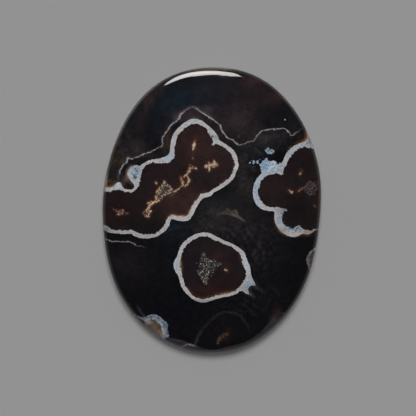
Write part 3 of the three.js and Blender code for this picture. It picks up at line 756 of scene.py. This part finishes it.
def fillet(corner_inset, corner_height, slope_before, slope_after, share):
    """Inset and height on a small arc that rounds off a corner between two slopes."""
    bisector = (slope_before + slope_after) / 2
    reach = EDGE_RADIUS / math.cos((slope_after - slope_before) / 2)
    slope = slope_before + (slope_after - slope_before) * share
    inset = corner_inset + reach * math.sin(bisector) - EDGE_RADIUS * np.sin(slope)
    height = corner_height - reach * math.cos(bisector) + EDGE_RADIUS * np.cos(slope)
    return inset, height


def straight(start, end):
    """A straight part of the section: its point at each share of the way."""
    return lambda share: [first + (last - first) * share for first, last in zip(start, end)]


def section(ring, radius, thickness):
    """Distance from the middle and height of the surface, for each ring number and spoke radius."""
    foot_slope = dome_foot_slope(radius, thickness)
    foot_inset, foot_height = shoulder_point(foot_slope)

    def dome(share):
        return radius - (radius - foot_inset) * share, thickness - (thickness - foot_height) * share ** 2

    def shoulder(share):
        return shoulder_point(foot_slope + (WALL_SLOPE - foot_slope) * share)

    def wall_edge(share):
        return fillet(0, BACK_BEVEL, WALL_SLOPE, BEVEL_SLOPE, share)

    def back_edge(share):
        return fillet(BACK_BEVEL, 0, BEVEL_SLOPE, math.pi, share)

    wall = straight(WALL_TOP, wall_edge(0))
    bevel = straight(wall_edge(1), back_edge(0))
    inset = radius
    height = np.full_like(radius, thickness)
    start = 0
    for rings, part in zip(PART_RINGS, (dome, shoulder, wall, wall_edge, bevel, back_edge)):
        part_inset, part_height = part((ring - start) / rings)
        inset = np.where(ring > start, part_inset, inset)
        height = np.where(ring > start, part_height, height)
        start += rings
    return radius - inset, height


def ring_grid(rings):
    """A square grid bent into rings: each corner's ring and angle, the faces and the border."""
    side = 2 * rings + 1
    row, column = np.mgrid[0:side, 0:side]
    u = column.ravel() - rings
    v = row.ravel() - rings
    wide = np.abs(u) >= np.abs(v)
    reach = np.where(wide, u, v)
    turn = np.pi / 4 * np.where(wide, v, u) / np.where(reach == 0, 1, reach)
    angle = np.where(wide, turn, np.pi / 2 - turn) + np.where(reach < 0, np.pi, 0)
    index = np.arange(side * side).reshape(side, side)
    faces = np.stack([index[:-1, :-1], index[:-1, 1:], index[1:, 1:], index[1:, :-1]], -1)
    border = np.concatenate([index[0, :-1], index[:-1, -1], index[-1, :0:-1], index[:0:-1, 0]])
    return np.abs(reach), angle, faces.reshape(-1, 4), border


def polar(distance, angle, height):
    """Corners from their distance to the middle, angle and height."""
    return np.stack([distance * np.cos(angle), distance * np.sin(angle), height], 1)


def stone_surface(thickness):
    """Corners in millimetres, quads and triangles of the whole stone, with each corner's ring."""
    ring, angle, quads, border = ring_grid(TOP_RINGS)
    distance, height = section(ring, girdle_radius(angle), thickness)
    top = polar(distance, angle, height)
    back_rings = TOP_RINGS // 2
    back_ring, back_angle, back_quads, back_border = ring_grid(back_rings)
    flat_radius = girdle_radius(back_angle) - BACK_BEVEL - BACK_FLAT_INSET
    back = polar(flat_radius * back_ring / back_rings, back_angle, np.zeros(len(back_angle)))

    inner = back_border + len(top)
    inner_next = np.roll(inner, -1)
    outer, between = border[0::2], border[1::2]
    seam = np.concatenate([
        np.stack([between, outer, inner], 1),
        np.stack([between, inner, inner_next], 1),
        np.stack([np.roll(outer, -1), between, inner_next], 1),
    ])
    corners = np.concatenate([top, back])
    corners[:, :2] -= oval_offset()
    rings = np.concatenate([ring, TOP_RINGS + 1 + back_rings - back_ring])
    return corners, np.concatenate([quads, back_quads[:, ::-1] + len(top)]), seam, rings


def smooth_closed(points):
    """A closed curve through the points, as short straight steps; further columns go along."""
    knots = np.array(points, float)
    before = np.roll(knots, 1, 0)
    after = np.roll(knots, -1, 0)
    beyond = np.roll(knots, -2, 0)
    curve = []
    for t in np.arange(CURVE_STEPS) / CURVE_STEPS:
        curve.append(
            0.5 * (2 * knots + (after - before) * t
                   + (2 * before - 5 * knots + 4 * after - beyond) * t ** 2
                   + (3 * knots - before - 3 * after + beyond) * t ** 3)
        )
    return np.stack(curve, 1).reshape(-1, knots.shape[1])


def near_segment(x, y, start, end):
    """Distance of each place to a straight segment, and the nearest point's share of its length."""
    across = end[0] - start[0]
    down = end[1] - start[1]
    length = max(across ** 2 + down ** 2, TINY)
    share = np.clip(((x - start[0]) * across + (y - start[1]) * down) / length, 0, 1)
    return np.hypot(x - start[0] - share * across, y - start[1] - share * down), share


def outline_depth(outline, places):
    """How deep each place lies inside an outline, and the outline's last column nearest to it."""
    best = np.full(len(places), np.inf)
    carried = np.zeros(len(places))
    inside = np.zeros(len(places), bool)
    x, y = places.T
    curve = smooth_closed(outline)
    for start, end in zip(curve, np.roll(curve, -1, 0)):
        gap, share = near_segment(x, y, start, end)
        nearer = gap < best
        best = np.where(nearer, gap, best)
        carried = np.where(nearer, start[-1] + (end[-1] - start[-1]) * share, carried)
        crosses = (start[1] > y) != (end[1] > y)
        rise = (end[1] - start[1]) or TINY
        inside ^= crosses & (x < start[0] + (y - start[1]) * (end[0] - start[0]) / rise)
    return np.where(inside, best, -best), carried


def stroke_depth(stroke, places):
    """How deep each place lies inside a stroke of changing width; negative outside."""
    best = np.full(len(places), -np.inf)
    for start, end in zip(stroke[:-1], stroke[1:]):
        gap, share = near_segment(*places.T, start, end)
        best = np.maximum(best, start[2] + (end[2] - start[2]) * share - gap)
    return best


def circles_depth(circles, places):
    """How deep each place lies inside the nearest of some circles."""
    best = np.full(len(places), -np.inf)
    for x, y, radius in circles:
        best = np.maximum(best, radius - np.hypot(places[:, 0] - x, places[:, 1] - y))
    return best


def spot(places, x, y, wide, high):
    """A soft round spot, 1 at its middle."""
    return np.exp(-((places[:, 0] - x) / wide) ** 2 - ((places[:, 1] - y) / high) ** 2)


def painted(places, ground, spots):
    """A ground colour with soft spots laid over it, as linear colour."""
    color = np.tile(linear(ground), (len(places), 1))
    for x, y, wide, high, strength, spot_tone in spots:
        share = (strength * spot(places, x, y, wide, high))[:, None]
        color = color * (1 - share) + linear(spot_tone) * share
    return color


def strongest(places, spots):
    """The strongest of some soft spots at each place."""
    return np.max([strength * spot(places, *form) for *form, strength in spots], 0)


def glow(places, spots):
    """Strength of the strongest spot at each place, and the spots' colours mixed by strength."""
    shares = np.array([strength * spot(places, *form) for *form, strength, _ in spots])
    color = shares.T @ linear([spot_tone for *_, spot_tone in spots])
    return shares.max(0), color / (shares.sum(0) + GLOW_FLOOR)[:, None]


def camera_place():
    """The camera's place over the stone in millimetres, for its lens and the view's scale."""
    offset = oval_offset()
    x = (VIEW_MIDDLE - OVAL_MIDDLE[0]) / PX_PER_MM - offset[0]
    y = (OVAL_MIDDLE[1] - VIEW_MIDDLE) / PX_PER_MM - offset[1]
    distance = VIEW_SIDE / PX_PER_MM * LENS / SENSOR
    return np.array([x, y, BACK_BEVEL + distance])


def view_places(corners):
    """Where each corner of the stone falls in the reference view, in pixels."""
    camera = camera_place()
    scale = (camera[2] - BACK_BEVEL) / (camera[2] - corners[:, 2]) * PX_PER_MM
    seen = (corners[:, :2] - camera[:2]) * scale[:, None]
    return VIEW_MIDDLE + seen * (1, -1)


def nodule_fields(places, depth):
    """How deep each place lies inside the bands' outer edges, and inside the hearts."""
    rind = circles_depth(BEADS, places) - depth * PX_PER_MM
    heart = np.full(len(places), -np.inf)
    for nodule in NODULES:
        moved = places - np.outer(depth, nodule["drift"])
        growth = nodule["growth"] * depth
        rind = np.maximum(rind, outline_depth(nodule["rim"], moved)[0] + growth)
        heart = np.maximum(heart, outline_depth(nodule["heart"], moved)[0] + growth)
    return {"rind": rind / PX_PER_MM, "heart": heart / PX_PER_MM}


def line_fields(places, depth):
    """Distance to each thin line, positive on its closed side, and the line's strength there."""
    leaning = places + np.outer(depth, LINE_LEAN)
    fields = {}
    for name, (outline, _, _) in LINES.items():
        distance, strength = outline_depth(outline, leaning)
        fields[name] = distance / PX_PER_MM
        fields[name + "_strength"] = np.clip(strength, 0, 1)
    return fields


def druse_field(places, depth):
    """How deep each place lies inside the druse."""
    druse = circles_depth(DRUSE_GRAINS, places)
    for outline in DRUSES:
        druse = np.maximum(druse, outline_depth(outline, places)[0])
    return druse / PX_PER_MM - depth * FADE_WITH_DEPTH


def stroke_fields(strokes, places, depth):
    """How deep each place lies inside the nearest of some strokes, and that stroke's colour."""
    deepest = np.full(len(places), -np.inf)
    color = np.zeros((len(places), 3))
    for stroke_tone, stroke in strokes:
        inside = stroke_depth(stroke, places)
        color = np.where((inside > deepest)[:, None], linear(stroke_tone), color)
        deepest = np.maximum(deepest, inside)
    return deepest / PX_PER_MM - depth * FADE_WITH_DEPTH, color


def ring_field(places):
    """Strength of the fine rings."""
    total = np.zeros(len(places))
    for x, y, radius, half_width, strength in RINGS:
        gap = np.abs(np.hypot(places[:, 0] - x, places[:, 1] - y) - radius)
        total = np.maximum(total, strength * np.clip(half_width + 0.5 - gap, 0, 1))
    return total


def smoke_field(places, depth):
    """Strength of the smoky strokes."""
    total = np.zeros(len(places))
    for stroke, strength in SMOKE:
        inside = stroke_depth(stroke, places)
        total = np.maximum(total, strength * np.clip(0.5 + inside / SMOKE_SOFTNESS, 0, 1))
    return total * np.exp(-depth)


def rim_reflection_field(corners):
    """How deep each place lies inside the olive rim of painted reflection."""
    x, y = (corners[:, :2] + oval_offset()).T
    angle = np.arctan2(y, x) % (2 * np.pi)
    inset = girdle_radius(angle) - np.hypot(x, y)
    return np.interp(np.degrees(angle), *zip(*RIM_REFLECTION_REACH)) - inset


def pattern(corners):
    """Every field and colour of the stone's pattern at its corners; distances are in millimetres."""
    places = view_places(corners)
    depth = np.maximum(DRIFT_START - corners[:, 2], 0)
    fields = {
        **nodule_fields(places, depth),
        **line_fields(places, depth),
        "druse": druse_field(places, depth),
        "speck": circles_depth(SPECKS, places) / PX_PER_MM - depth,
        # the painted reflection along the lower shoulder
        "lower_reflection": outline_depth(LOWER_REFLECTION, places)[0] / PX_PER_MM,
        "ring": ring_field(places),
        "smoke": smoke_field(places, depth),
        # the olive rim of painted reflection on the upper shoulder
        "rim_reflection": rim_reflection_field(corners),
        "froth": strongest(places, FROTH_SPOTS),
        "grain": strongest(places, GRAIN_SPOTS),
        "ground": np.clip((BACK_BEVEL - corners[:, 2]) / (BACK_BEVEL / 2), 0, 1),
    }
    colors = {name: painted(places, ground, spots) for name, (ground, spots) in GROUNDS.items()}
    for name, strokes in (("vein", VEINS), ("lace", LACE)):
        fields[name], colors[name] = stroke_fields(strokes, places, depth)
    for name, spots in GLOWS.items():
        fields[name], colors[name] = glow(places, spots)
    return fields, colors


def add_object(name, data):
    """A new object in the scene."""
    made = bpy.data.objects.new(name, data)
    bpy.context.scene.collection.objects.link(made)
    return made


def new_mesh(name, corners, faces):
    """A mesh from its corners and faces, with no object yet."""
    mesh = bpy.data.meshes.new(name)
    mesh.from_pydata([tuple(corner) for corner in corners], [], [tuple(face) for face in faces])
    return mesh


def store(mesh, name, values):
    """Keeps a number or a colour for each corner of a mesh, for its material to read."""
    if values.ndim == 1:
        attribute = mesh.attributes.new(name, "FLOAT", "POINT")
        attribute.data.foreach_set("value", values.astype(np.float32))
    else:
        attribute = mesh.attributes.new(name, "FLOAT_COLOR", "POINT")
        opaque = np.concatenate([values, np.ones((len(values), 1))], 1)
        attribute.data.foreach_set("color", opaque.astype(np.float32).ravel())


def build_stone():
    """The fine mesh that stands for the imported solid."""
    low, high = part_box(NODE)
    corners, quads, seam, rings = stone_surface((high.z - low.z) / MM)
    fields, colors = pattern(corners)
    roughen_druse(corners, fields["druse"])

    mesh = new_mesh("agate_stone", corners * MM, [*quads, *seam])
    mesh.shade_smooth()
    mesh.set_sharp_from_angle(angle=SHARP_ANGLE)
    for name, values in fields.items():
        store(mesh, name, values)
    for name, values in colors.items():
        store(mesh, name + "_color", values)
    add_uv_map(mesh, corners, rings)
    mesh.materials.append(agate_material())
    return add_object("agate_stone", mesh)


def roughen_druse(corners, druse):
    """Small crystal faces stand a little out of the polish and into it where the druse is."""
    grain = np.random.default_rng(DRUSE_SEED).uniform(-1, 1, len(corners))
    amount = np.interp(druse, DRUSE_RAMP, (0, 1))
    corners[:, 2] += DRUSE_RELIEF * (grain - DRUSE_SINK) * amount


def whole_numbers(collection, name):
    """One whole number from each of a mesh's loops or faces."""
    values = np.zeros(len(collection), int)
    collection.foreach_get(name, values)
    return values


def add_uv_map(mesh, corners, rings):
    """One map with the dome, the back and the sides apart, all at one scale."""
    corner_of_loop = whole_numbers(mesh.loops, "vertex_index")
    face_start = whole_numbers(mesh.polygons, "loop_start")
    face_size = whole_numbers(mesh.polygons, "loop_total")
    face_of_loop = np.repeat(np.arange(len(face_start)), face_size)
    ring = rings[corner_of_loop]
    on_dome = (np.maximum.reduceat(ring, face_start) <= DOME_RINGS + SHOULDER_RINGS)[face_of_loop]
    on_back = (np.minimum.reduceat(ring, face_start) > TOP_RINGS)[face_of_loop]

    x, y, _ = corners[corner_of_loop].T
    angle = np.arctan2(y, x) % (2 * np.pi)
    east = np.add.reduceat(np.cos(angle), face_start)
    north = np.add.reduceat(np.sin(angle), face_start)
    face_angle = (np.arctan2(north, east) % (2 * np.pi))[face_of_loop]
    second = face_angle > np.pi
    angle = face_angle + (angle - face_angle + np.pi) % (2 * np.pi) - np.pi - np.where(second, np.pi, 0)
    strip_u = STRIP_START + angle * (HALF_LENGTH + HALF_WIDTH) / 2
    strip_v = np.where(second, STRIP_PLACES[1], STRIP_PLACES[0]) + ring_height(ring)

    u = np.where(on_back, BACK_PLACE[0] - x, np.where(on_dome, DOME_PLACE[0] + x, strip_u))
    v = np.where(on_back, BACK_PLACE[1] + y, np.where(on_dome, DOME_PLACE[1] + y, strip_v))
    layer = mesh.uv_layers.new(name="OFBake")
    layer.data.foreach_set("uv", (np.stack([u, v], 1) / MAP_SIDE).astype(np.float32).ravel())


def ring_height(rings):
    """Height of a ring in the side strips, growing upwards from the back's edge."""
    bevel_start = TOP_RINGS - BACK_EDGE_RINGS - BEVEL_RINGS
    wall = (bevel_start - rings) / (WALL_RINGS + EDGE_RINGS) * WALL_HEIGHT
    bevel = (TOP_RINGS + 1 - rings) / (BACK_EDGE_RINGS + BEVEL_RINGS + 1) * BACK_BEVEL
    return np.where(rings <= bevel_start, BACK_BEVEL + wall, np.clip(bevel, 0, BACK_BEVEL))


class Value:
    """A number or colour that nodes work out; its sums, products and steps are more nodes."""

    def __init__(self, shader, socket):
        self.shader = shader
        self.socket = socket

    def __add__(self, other):
        return self.shader.math("ADD", self, other)

    def __sub__(self, other):
        return self.shader.math("SUBTRACT", self, other)

    def __rsub__(self, other):
        return self.shader.math("SUBTRACT", other, self)

    def __mul__(self, other):
        return self.shader.math("MULTIPLY", self, other)

    def __truediv__(self, other):
        return self.shader.math("DIVIDE", self, other)

    def __neg__(self):
        return self * -1.0

    def __abs__(self):
        return self.shader.math("ABSOLUTE", self)

    __radd__ = __add__

    def step(self, low, high, bottom=0.0, top=1.0):
        """A smooth step from bottom to top as the value goes from low to high."""
        inputs = dict(enumerate((self, low, high, bottom, top)))
        return self.shader.out(0, "ShaderNodeMapRange", inputs, interpolation_type="SMOOTHSTEP")

    def fall(self, low, high):
        """A smooth step from 1 down to 0."""
        return self.step(low, high, 1.0, 0.0)


class Shader:
    """Adds nodes to a node tree and links them."""

    def __init__(self, tree):
        self.tree = tree
        tree.nodes.clear()

    def node(self, kind, inputs, **settings):
        """A new node, with values for some of its inputs by their number or name."""
        made = self.tree.nodes.new(kind)
        made.location = (200 * (len(self.tree.nodes) % 12), -220 * (len(self.tree.nodes) // 12))
        for name, setting in settings.items():
            setattr(made, name, setting)
        for socket, value in inputs.items():
            if isinstance(value, Value):
                self.tree.links.new(value.socket, made.inputs[socket])
            elif isinstance(value, tuple):
                made.inputs[socket].default_value = (*value, 1.0)
            else:
                made.inputs[socket].default_value = value
        return made

    def out(self, output, kind, inputs, **settings):
        """One output of a new node."""
        return Value(self, self.node(kind, inputs, **settings).outputs[output])

    def show(self, kind, inputs, output="ShaderNodeOutputMaterial"):
        """Gives the surface, or the world, its look."""
        self.node(output, {0: self.out(0, kind, inputs)})

    def math(self, operation, *values):
        """One sum or comparison of numbers."""
        return self.out(0, "ShaderNodeMath", dict(enumerate(values)), operation=operation)

    def mix(self, share, first, second, blend="MIX"):
        """The first colour with a share of the second over it."""
        inputs = {0: share, 6: first, 7: second}
        return self.out(2, "ShaderNodeMix", inputs, data_type="RGBA", blend_type=blend)

    def lit(self, color, level):
        """A colour made lighter or darker by a number."""
        grey = self.out(0, "ShaderNodeCombineColor", {0: level, 1: level, 2: level})
        return self.mix(1.0, color, grey, "MULTIPLY")

    def red(self, color):
        """The red part of a colour."""
        return self.out(0, "ShaderNodeSeparateColor", {0: color})

    def field(self, name):
        """A number that the mesh keeps."""
        return self.out("Fac", "ShaderNodeAttribute", {}, attribute_name=name)

    def color(self, name):
        """A colour that the mesh keeps."""
        return self.out("Color", "ShaderNodeAttribute", {}, attribute_name=name + "_color")


class StoneShader(Shader):
    """A shader with noises that lie in the stone, at scales in features per millimetre."""

    def __init__(self, tree):
        super().__init__(tree)
        metres = self.out("Object", "ShaderNodeTexCoord", {})
        self.place = self.out(0, "ShaderNodeVectorMath", {0: metres, "Scale": 1 / MM}, operation="SCALE")

    def noise(self, scale, detail=2.0, roughness=0.5, output=0):
        """Cloudy noise around a half; output 1 is its colours."""
        inputs = {"Vector": self.place, "Scale": scale, "Detail": detail, "Roughness": roughness}
        return self.out(output, "ShaderNodeTexNoise", inputs)

    def swing(self, scale, size, detail=2.0):
        """Noise around zero, which mostly stays within a fifth of size."""
        return (self.noise(scale, detail) - 0.5) * size

    def cells(self, scale, output="Distance"):
        """Distance to the nearest of many scattered points, or the colour of its cell."""
        return self.out(output, "ShaderNodeTexVoronoi", {"Vector": self.place, "Scale": scale})

    def ragged(self, name):
        """A field with the noises of its edge."""
        value = self.field(name)
        for scale, size, detail in EDGES[name][0]:
            value = value + self.swing(scale, size, detail)
        return value

    def part(self, name):
        """1 inside a part of the pattern and 0 outside."""
        return self.ragged(name).step(*EDGES[name][1])

    def tinged(self, color):
        """A colour with a trace of coloured speckle."""
        return self.mix(TINGE, color, self.noise(3.2, 3.0, output=1), "LINEAR_LIGHT")


def new_material(name, kind=Shader):
    """A new material and the shader that fills it."""
    material = bpy.data.materials.new(name)
    material.use_nodes = True
    return material, kind(material.node_tree)


def tone(color):
    """A screen colour as a linear tuple."""
    return tuple(float(part) for part in linear(color))


def agate_material():
    """Polished chalcedony: black matrix, white bands, brown hearts, veins and druse."""
    material, shader = new_material("polished_agate", StoneShader)
    rind = shader.ragged("rind")
    heart = shader.ragged("heart") + (shader.cells(LOBES_PER_MM) - 0.5) * LOBE_DEPTH
    inside = heart.step(*EDGES["heart"][1])
    band = rind.step(*EDGES["rind"][1]) * (1.0 - inside)
    matrix = with_glow(shader, with_fog(shader, matrix_color(shader)), "matrix", -rind)
    quartz = with_glow(shader, heart_color(shader, heart), "heart", heart)
    color = shader.mix(inside, matrix, quartz)
    color = shader.mix(band, color, band_color(shader, rind, heart))
    color = shader.mix(shader.part("speck") * SPECK_STRENGTH, color, tone(SPECK_COLOR))
    druse = shader.part("druse")
    filled = shader.noise(3.4, 3.0).step(0.36, 0.52, 0.55, 1.0)
    color = shader.mix(druse * filled, color, druse_color(shader))
    # Painted reflection: a paler band along the lower shoulder, over the veins
    color = with_lower_reflection(shader, with_veins(shader, color))
    color = with_lines(shader, color)
    # Painted reflection: the paler olive rim on the upper shoulder
    color = shader.mix(shader.part("rim_reflection"), color, shader.color("rim_reflection"))
    ground = shader.field("ground")
    color = shader.mix(ground * GROUND_STRENGTH, color, tone(GROUND_COLOR))
    relief = shader.noise(7.0) * druse + shader.noise(14.0, 3.0) * ground
    bump = {"Strength": BUMP_STRENGTH, "Distance": BUMP_HEIGHT * MM, "Height": relief}
    shader.show("ShaderNodeBsdfPrincipled", {
        "Base Color": color,
        "Metallic": 0.0,
        "IOR": QUARTZ_IOR,
        "Roughness": POLISH + druse * DRUSE_ROUGHNESS + ground * BACK_ROUGHNESS,
        "Normal": shader.out(0, "ShaderNodeBump", bump),
    })
    return material


def matrix_color(shader):
    """Near-black rock with soft stains, fine speckle, a grey stipple and smoky wisps."""
    grain = shader.field("grain")
    streaks = shader.swing(1.1, 0.9, 4.0) * (1.0 + grain)
    speckle = shader.noise(7.0, 2.0, 0.6)
    fine = (speckle - 0.5) * (1.3 + grain * 2.2)
    color = shader.lit(shader.color("matrix"), 1.0 + streaks + fine)
    fine_dots = shader.noise(4.5).step(0.5, 0.75, 0.0, 0.16)
    blotches = shader.noise(1.6, 1.0).step(0.46, 0.74, 0.0, 0.62)
    color = shader.mix((fine_dots + blotches) * grain, color, tone(STIPPLE_COLOR))
    wisps = shader.field("smoke") * speckle.step(0.36, 0.6, 0.25, 1.0)
    return shader.tinged(shader.mix(wisps, color, tone(SMOKE_COLOR)))


def with_fog(shader, color):
    """A dull haze that fades away from the upper line."""
    beyond = shader.field("upper_line") + shader.swing(2.2, 0.4, 3.0)
    near = beyond.step(-0.04, 0.02) * beyond.fall(0.0, FOG_REACH)
    cloud = shader.noise(2.2, 4.0).step(0.3, 0.65, 0.35, 1.0)
    return shader.mix(near * cloud * shader.field("fog"), color, shader.color("fog"))


def heart_color(shader, heart):
    """Chocolate brown quartz, a little cloudy, with dark dots along the band's edge."""
    level = 1.0 + shader.swing(0.8, 0.7, 3.0) + shader.swing(7.0, 1.2)
    color = shader.tinged(shader.lit(shader.color("heart"), level))
    dots = shader.noise(6.2, 1.0).step(0.46, 0.6) * heart.step(0.04, 0.22, 0.75, 0.0)
    return shader.mix(dots, color, tone(DOT_COLOR))


def with_glow(shader, color, side, away):
    """Amber and cream light next to the bands, on one side of them."""
    patchy = shader.noise(2.5, 3.0).step(0.25, 0.6, 0.55, 1.0)
    for light, (start, reach) in GLOW_REACHES.items():
        share = shader.field(side + light) * patchy * away.fall(start, reach)
        color = shader.mix(share, color, shader.color(side + light))
    return color


def band_color(shader, rind, heart):
    """White chalcedony with a wandering dashed seam, small clouds, blue dots and froth."""
    width = shader.math("MAXIMUM", rind - heart, THINNEST_BAND)
    off_seam = abs(rind / width + shader.swing(1.7, 1.1, 3.0) - 0.5)
    seam = off_seam.fall(0.02, 0.13) * shader.noise(3.0).step(0.42, 0.58) * -0.2
    outline = shader.math("MINIMUM", rind, -heart).step(0.06, 0.15, 0.07, 0.0)
    level = 0.96 + seam + outline + shader.swing(1.6, 0.5, 3.0) + shader.swing(6.0, 0.8)
    color = shader.lit(shader.color("band"), level)
    froth = shader.field("froth")
    dots = shader.noise(5.6, 1.0).step(0.5, 0.62) * heart.step(-0.3, -0.06, 0.0, 0.55)
    color = shader.mix(dots * (0.45 + froth), color, tone(BLUE_DOT_COLOR))
    pores = shader.cells(PORES_PER_MM).step(0.12, 0.56, 0.2, 1.2)
    return shader.mix(froth, color, shader.lit(color, pores))


def with_lines(shader, color):
    """The thin grey growth lines and the fine rings."""
    broken = shader.noise(3.4, 3.0)
    tremble = shader.swing(1.8, 0.35) + shader.swing(5.0, 0.3, 3.0)
    half_width = broken.step(0.3, 0.7, 0.05, 0.1)
    bright = broken.step(0.3, 0.56, 0.5, 1.0)
    for name, (_, line_color, width) in LINES.items():
        off_line = abs(shader.field(name) + tremble) / half_width
        line = off_line.fall(0.2 * width, 1.4 * width) * bright * shader.field(name + "_strength")
        color = shader.mix(line, color, tone(line_color))
    dotted = shader.noise(5.5, 1.0).step(0.4, 0.58, 0.25, 1.1)
    return shader.mix(shader.field("ring") * dotted, color, tone(RING_COLOR))


def druse_color(shader):
    """Sugary quartz: fine pale grains on dark."""
    facet = shader.cells(GRAINS_PER_MM).step(0.14, 0.54, 1.3, 0.03)
    chance = shader.red(shader.cells(GRAINS_PER_MM, "Color"))
    return shader.lit(shader.color("druse"), DRUSE_SHADE + shader.math("POWER", chance, 1.2) * facet)


def with_veins(shader, color):
    """Golden flecks and threads, with a rusty halo and a lace of fine threads around them."""
    vein_color = shader.color("vein")
    halo = shader.field("vein").step(-0.36, 0.0, 0.0, 0.75) * shader.red(vein_color)
    color = shader.mix(halo, color, tone(RUST_COLOR))
    glint = shader.noise(4.8, 3.0)
    thread = abs(shader.noise(LACE_PER_MM) - 0.5).fall(0.01, 0.06)
    share = shader.part("lace") * thread * glint.step(0.34, 0.62, 0.25, 1.0)
    color = shader.mix(share, color, shader.color("lace"))
    share = shader.part("vein") * glint.step(0.36, 0.5, 0.35, 1.0)
    return shader.mix(share, color, shader.lit(vein_color, glint.step(0.4, 0.66, 0.6, 0.98)))


def with_lower_reflection(shader, color):
    """A paler band of painted reflection along the lower shoulder."""
    lower_reflection = shader.lit(shader.color("lower_reflection"), 1.0 + shader.swing(3.0, 0.9, 3.0))
    return shader.mix(shader.part("lower_reflection"), color, lower_reflection)


def build_table():
    """The plain table that the stone lies on."""
    corners = np.array([(-1, -1, 0), (1, -1, 0), (1, 1, 0), (-1, 1, 0)]) * TABLE_HALF
    mesh = new_mesh("table", corners, [(0, 1, 2, 3)])
    material, shader = new_material("table_grey")
    shader.show("ShaderNodeBsdfPrincipled", {
        "Base Color": (TABLE_ALBEDO,) * 3,
        "Roughness": TABLE_ROUGHNESS,
        "Specular IOR Level": 0.0,
    })
    mesh.materials.append(material)
    add_object("table", mesh)


def towards(azimuth, elevation):
    """Unit vector in some direction from the stone, in degrees."""
    around = math.radians(azimuth)
    up = math.radians(elevation)
    return np.array([math.cos(around) * math.cos(up), math.sin(around) * math.cos(up), math.sin(up)])


def build_suns():
    """Soft suns for the table and the stone's body; they don't show in the polish."""
    for name, azimuth, elevation, angle, strength in SUNS:
        data = bpy.data.lights.new(name, "SUN")
        data.energy = strength
        data.angle = math.radians(angle)
        sun = add_object(name, data)
        sun.location = towards(azimuth, elevation)
        sun.rotation_mode = "QUATERNION"
        sun.rotation_quaternion = sun.location.to_track_quat("Z", "Y")
        sun.visible_camera = False
        sun.visible_glossy = False


def build_softbox():
    """A glowing panel, brightest in its middle, that only shows in the polish."""
    ways = [towards(*SOFTBOX_MIDDLE)] + [towards(*corner) for corner in SOFTBOX]
    count = len(SOFTBOX)
    faces = [(0, 1 + corner, 1 + (corner + 1) % count) for corner in range(count)]
    mesh = new_mesh("softbox", SOFTBOX_AIM + np.array(ways) * SOFTBOX_DISTANCE, faces)
    bright, dim = SOFTBOX_RADIANCE
    store(mesh, "level", np.array([bright] + [dim] * count))
    material, shader = new_material("softbox_light")
    shader.show("ShaderNodeEmission", {"Color": SOFTBOX_COLOR, "Strength": shader.field("level")})
    mesh.materials.append(material)
    softbox = add_object("softbox", mesh)
    softbox.visible_camera = False
    softbox.visible_diffuse = False
    softbox.visible_shadow = False


def build_room():
    """A dark room with a pale strip at the horizon, seen in the background and in the polish."""
    world = bpy.data.worlds.new("room")
    bpy.context.scene.world = world
    world.use_nodes = True
    world.cycles_visibility.diffuse = False
    shader = Shader(world.node_tree)
    way = shader.out("Generated", "ShaderNodeTexCoord", {})
    up = shader.out(2, "ShaderNodeSeparateXYZ", {0: way})
    level = up.step(*HORIZON_EDGE, HORIZON_LIGHT, ROOM_LIGHT)
    level = level - up.step(*ZENITH_EDGE, 0.0, ROOM_LIGHT - ZENITH_LIGHT)
    shader.show("ShaderNodeBackground", {0: shader.lit((1.0, 1.0, 1.0), level)}, "ShaderNodeOutputWorld")


def build_camera():
    """Straight above the stone, through a long lens."""
    data = bpy.data.cameras.new("camera")
    data.lens = LENS
    data.sensor_width = SENSOR
    data.clip_start, data.clip_end = CAMERA_RANGE
    camera = add_object("camera", data)
    camera.location = camera_place() * MM
    bpy.context.scene.camera = camera


def main():
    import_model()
    build_camera()
    stone = build_stone()
    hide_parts(NODE)
    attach(stone, "root")
    build_table()
    build_suns()
    build_softbox()
    build_room()
    bpy.context.scene.view_settings.view_transform = "Standard"


main()
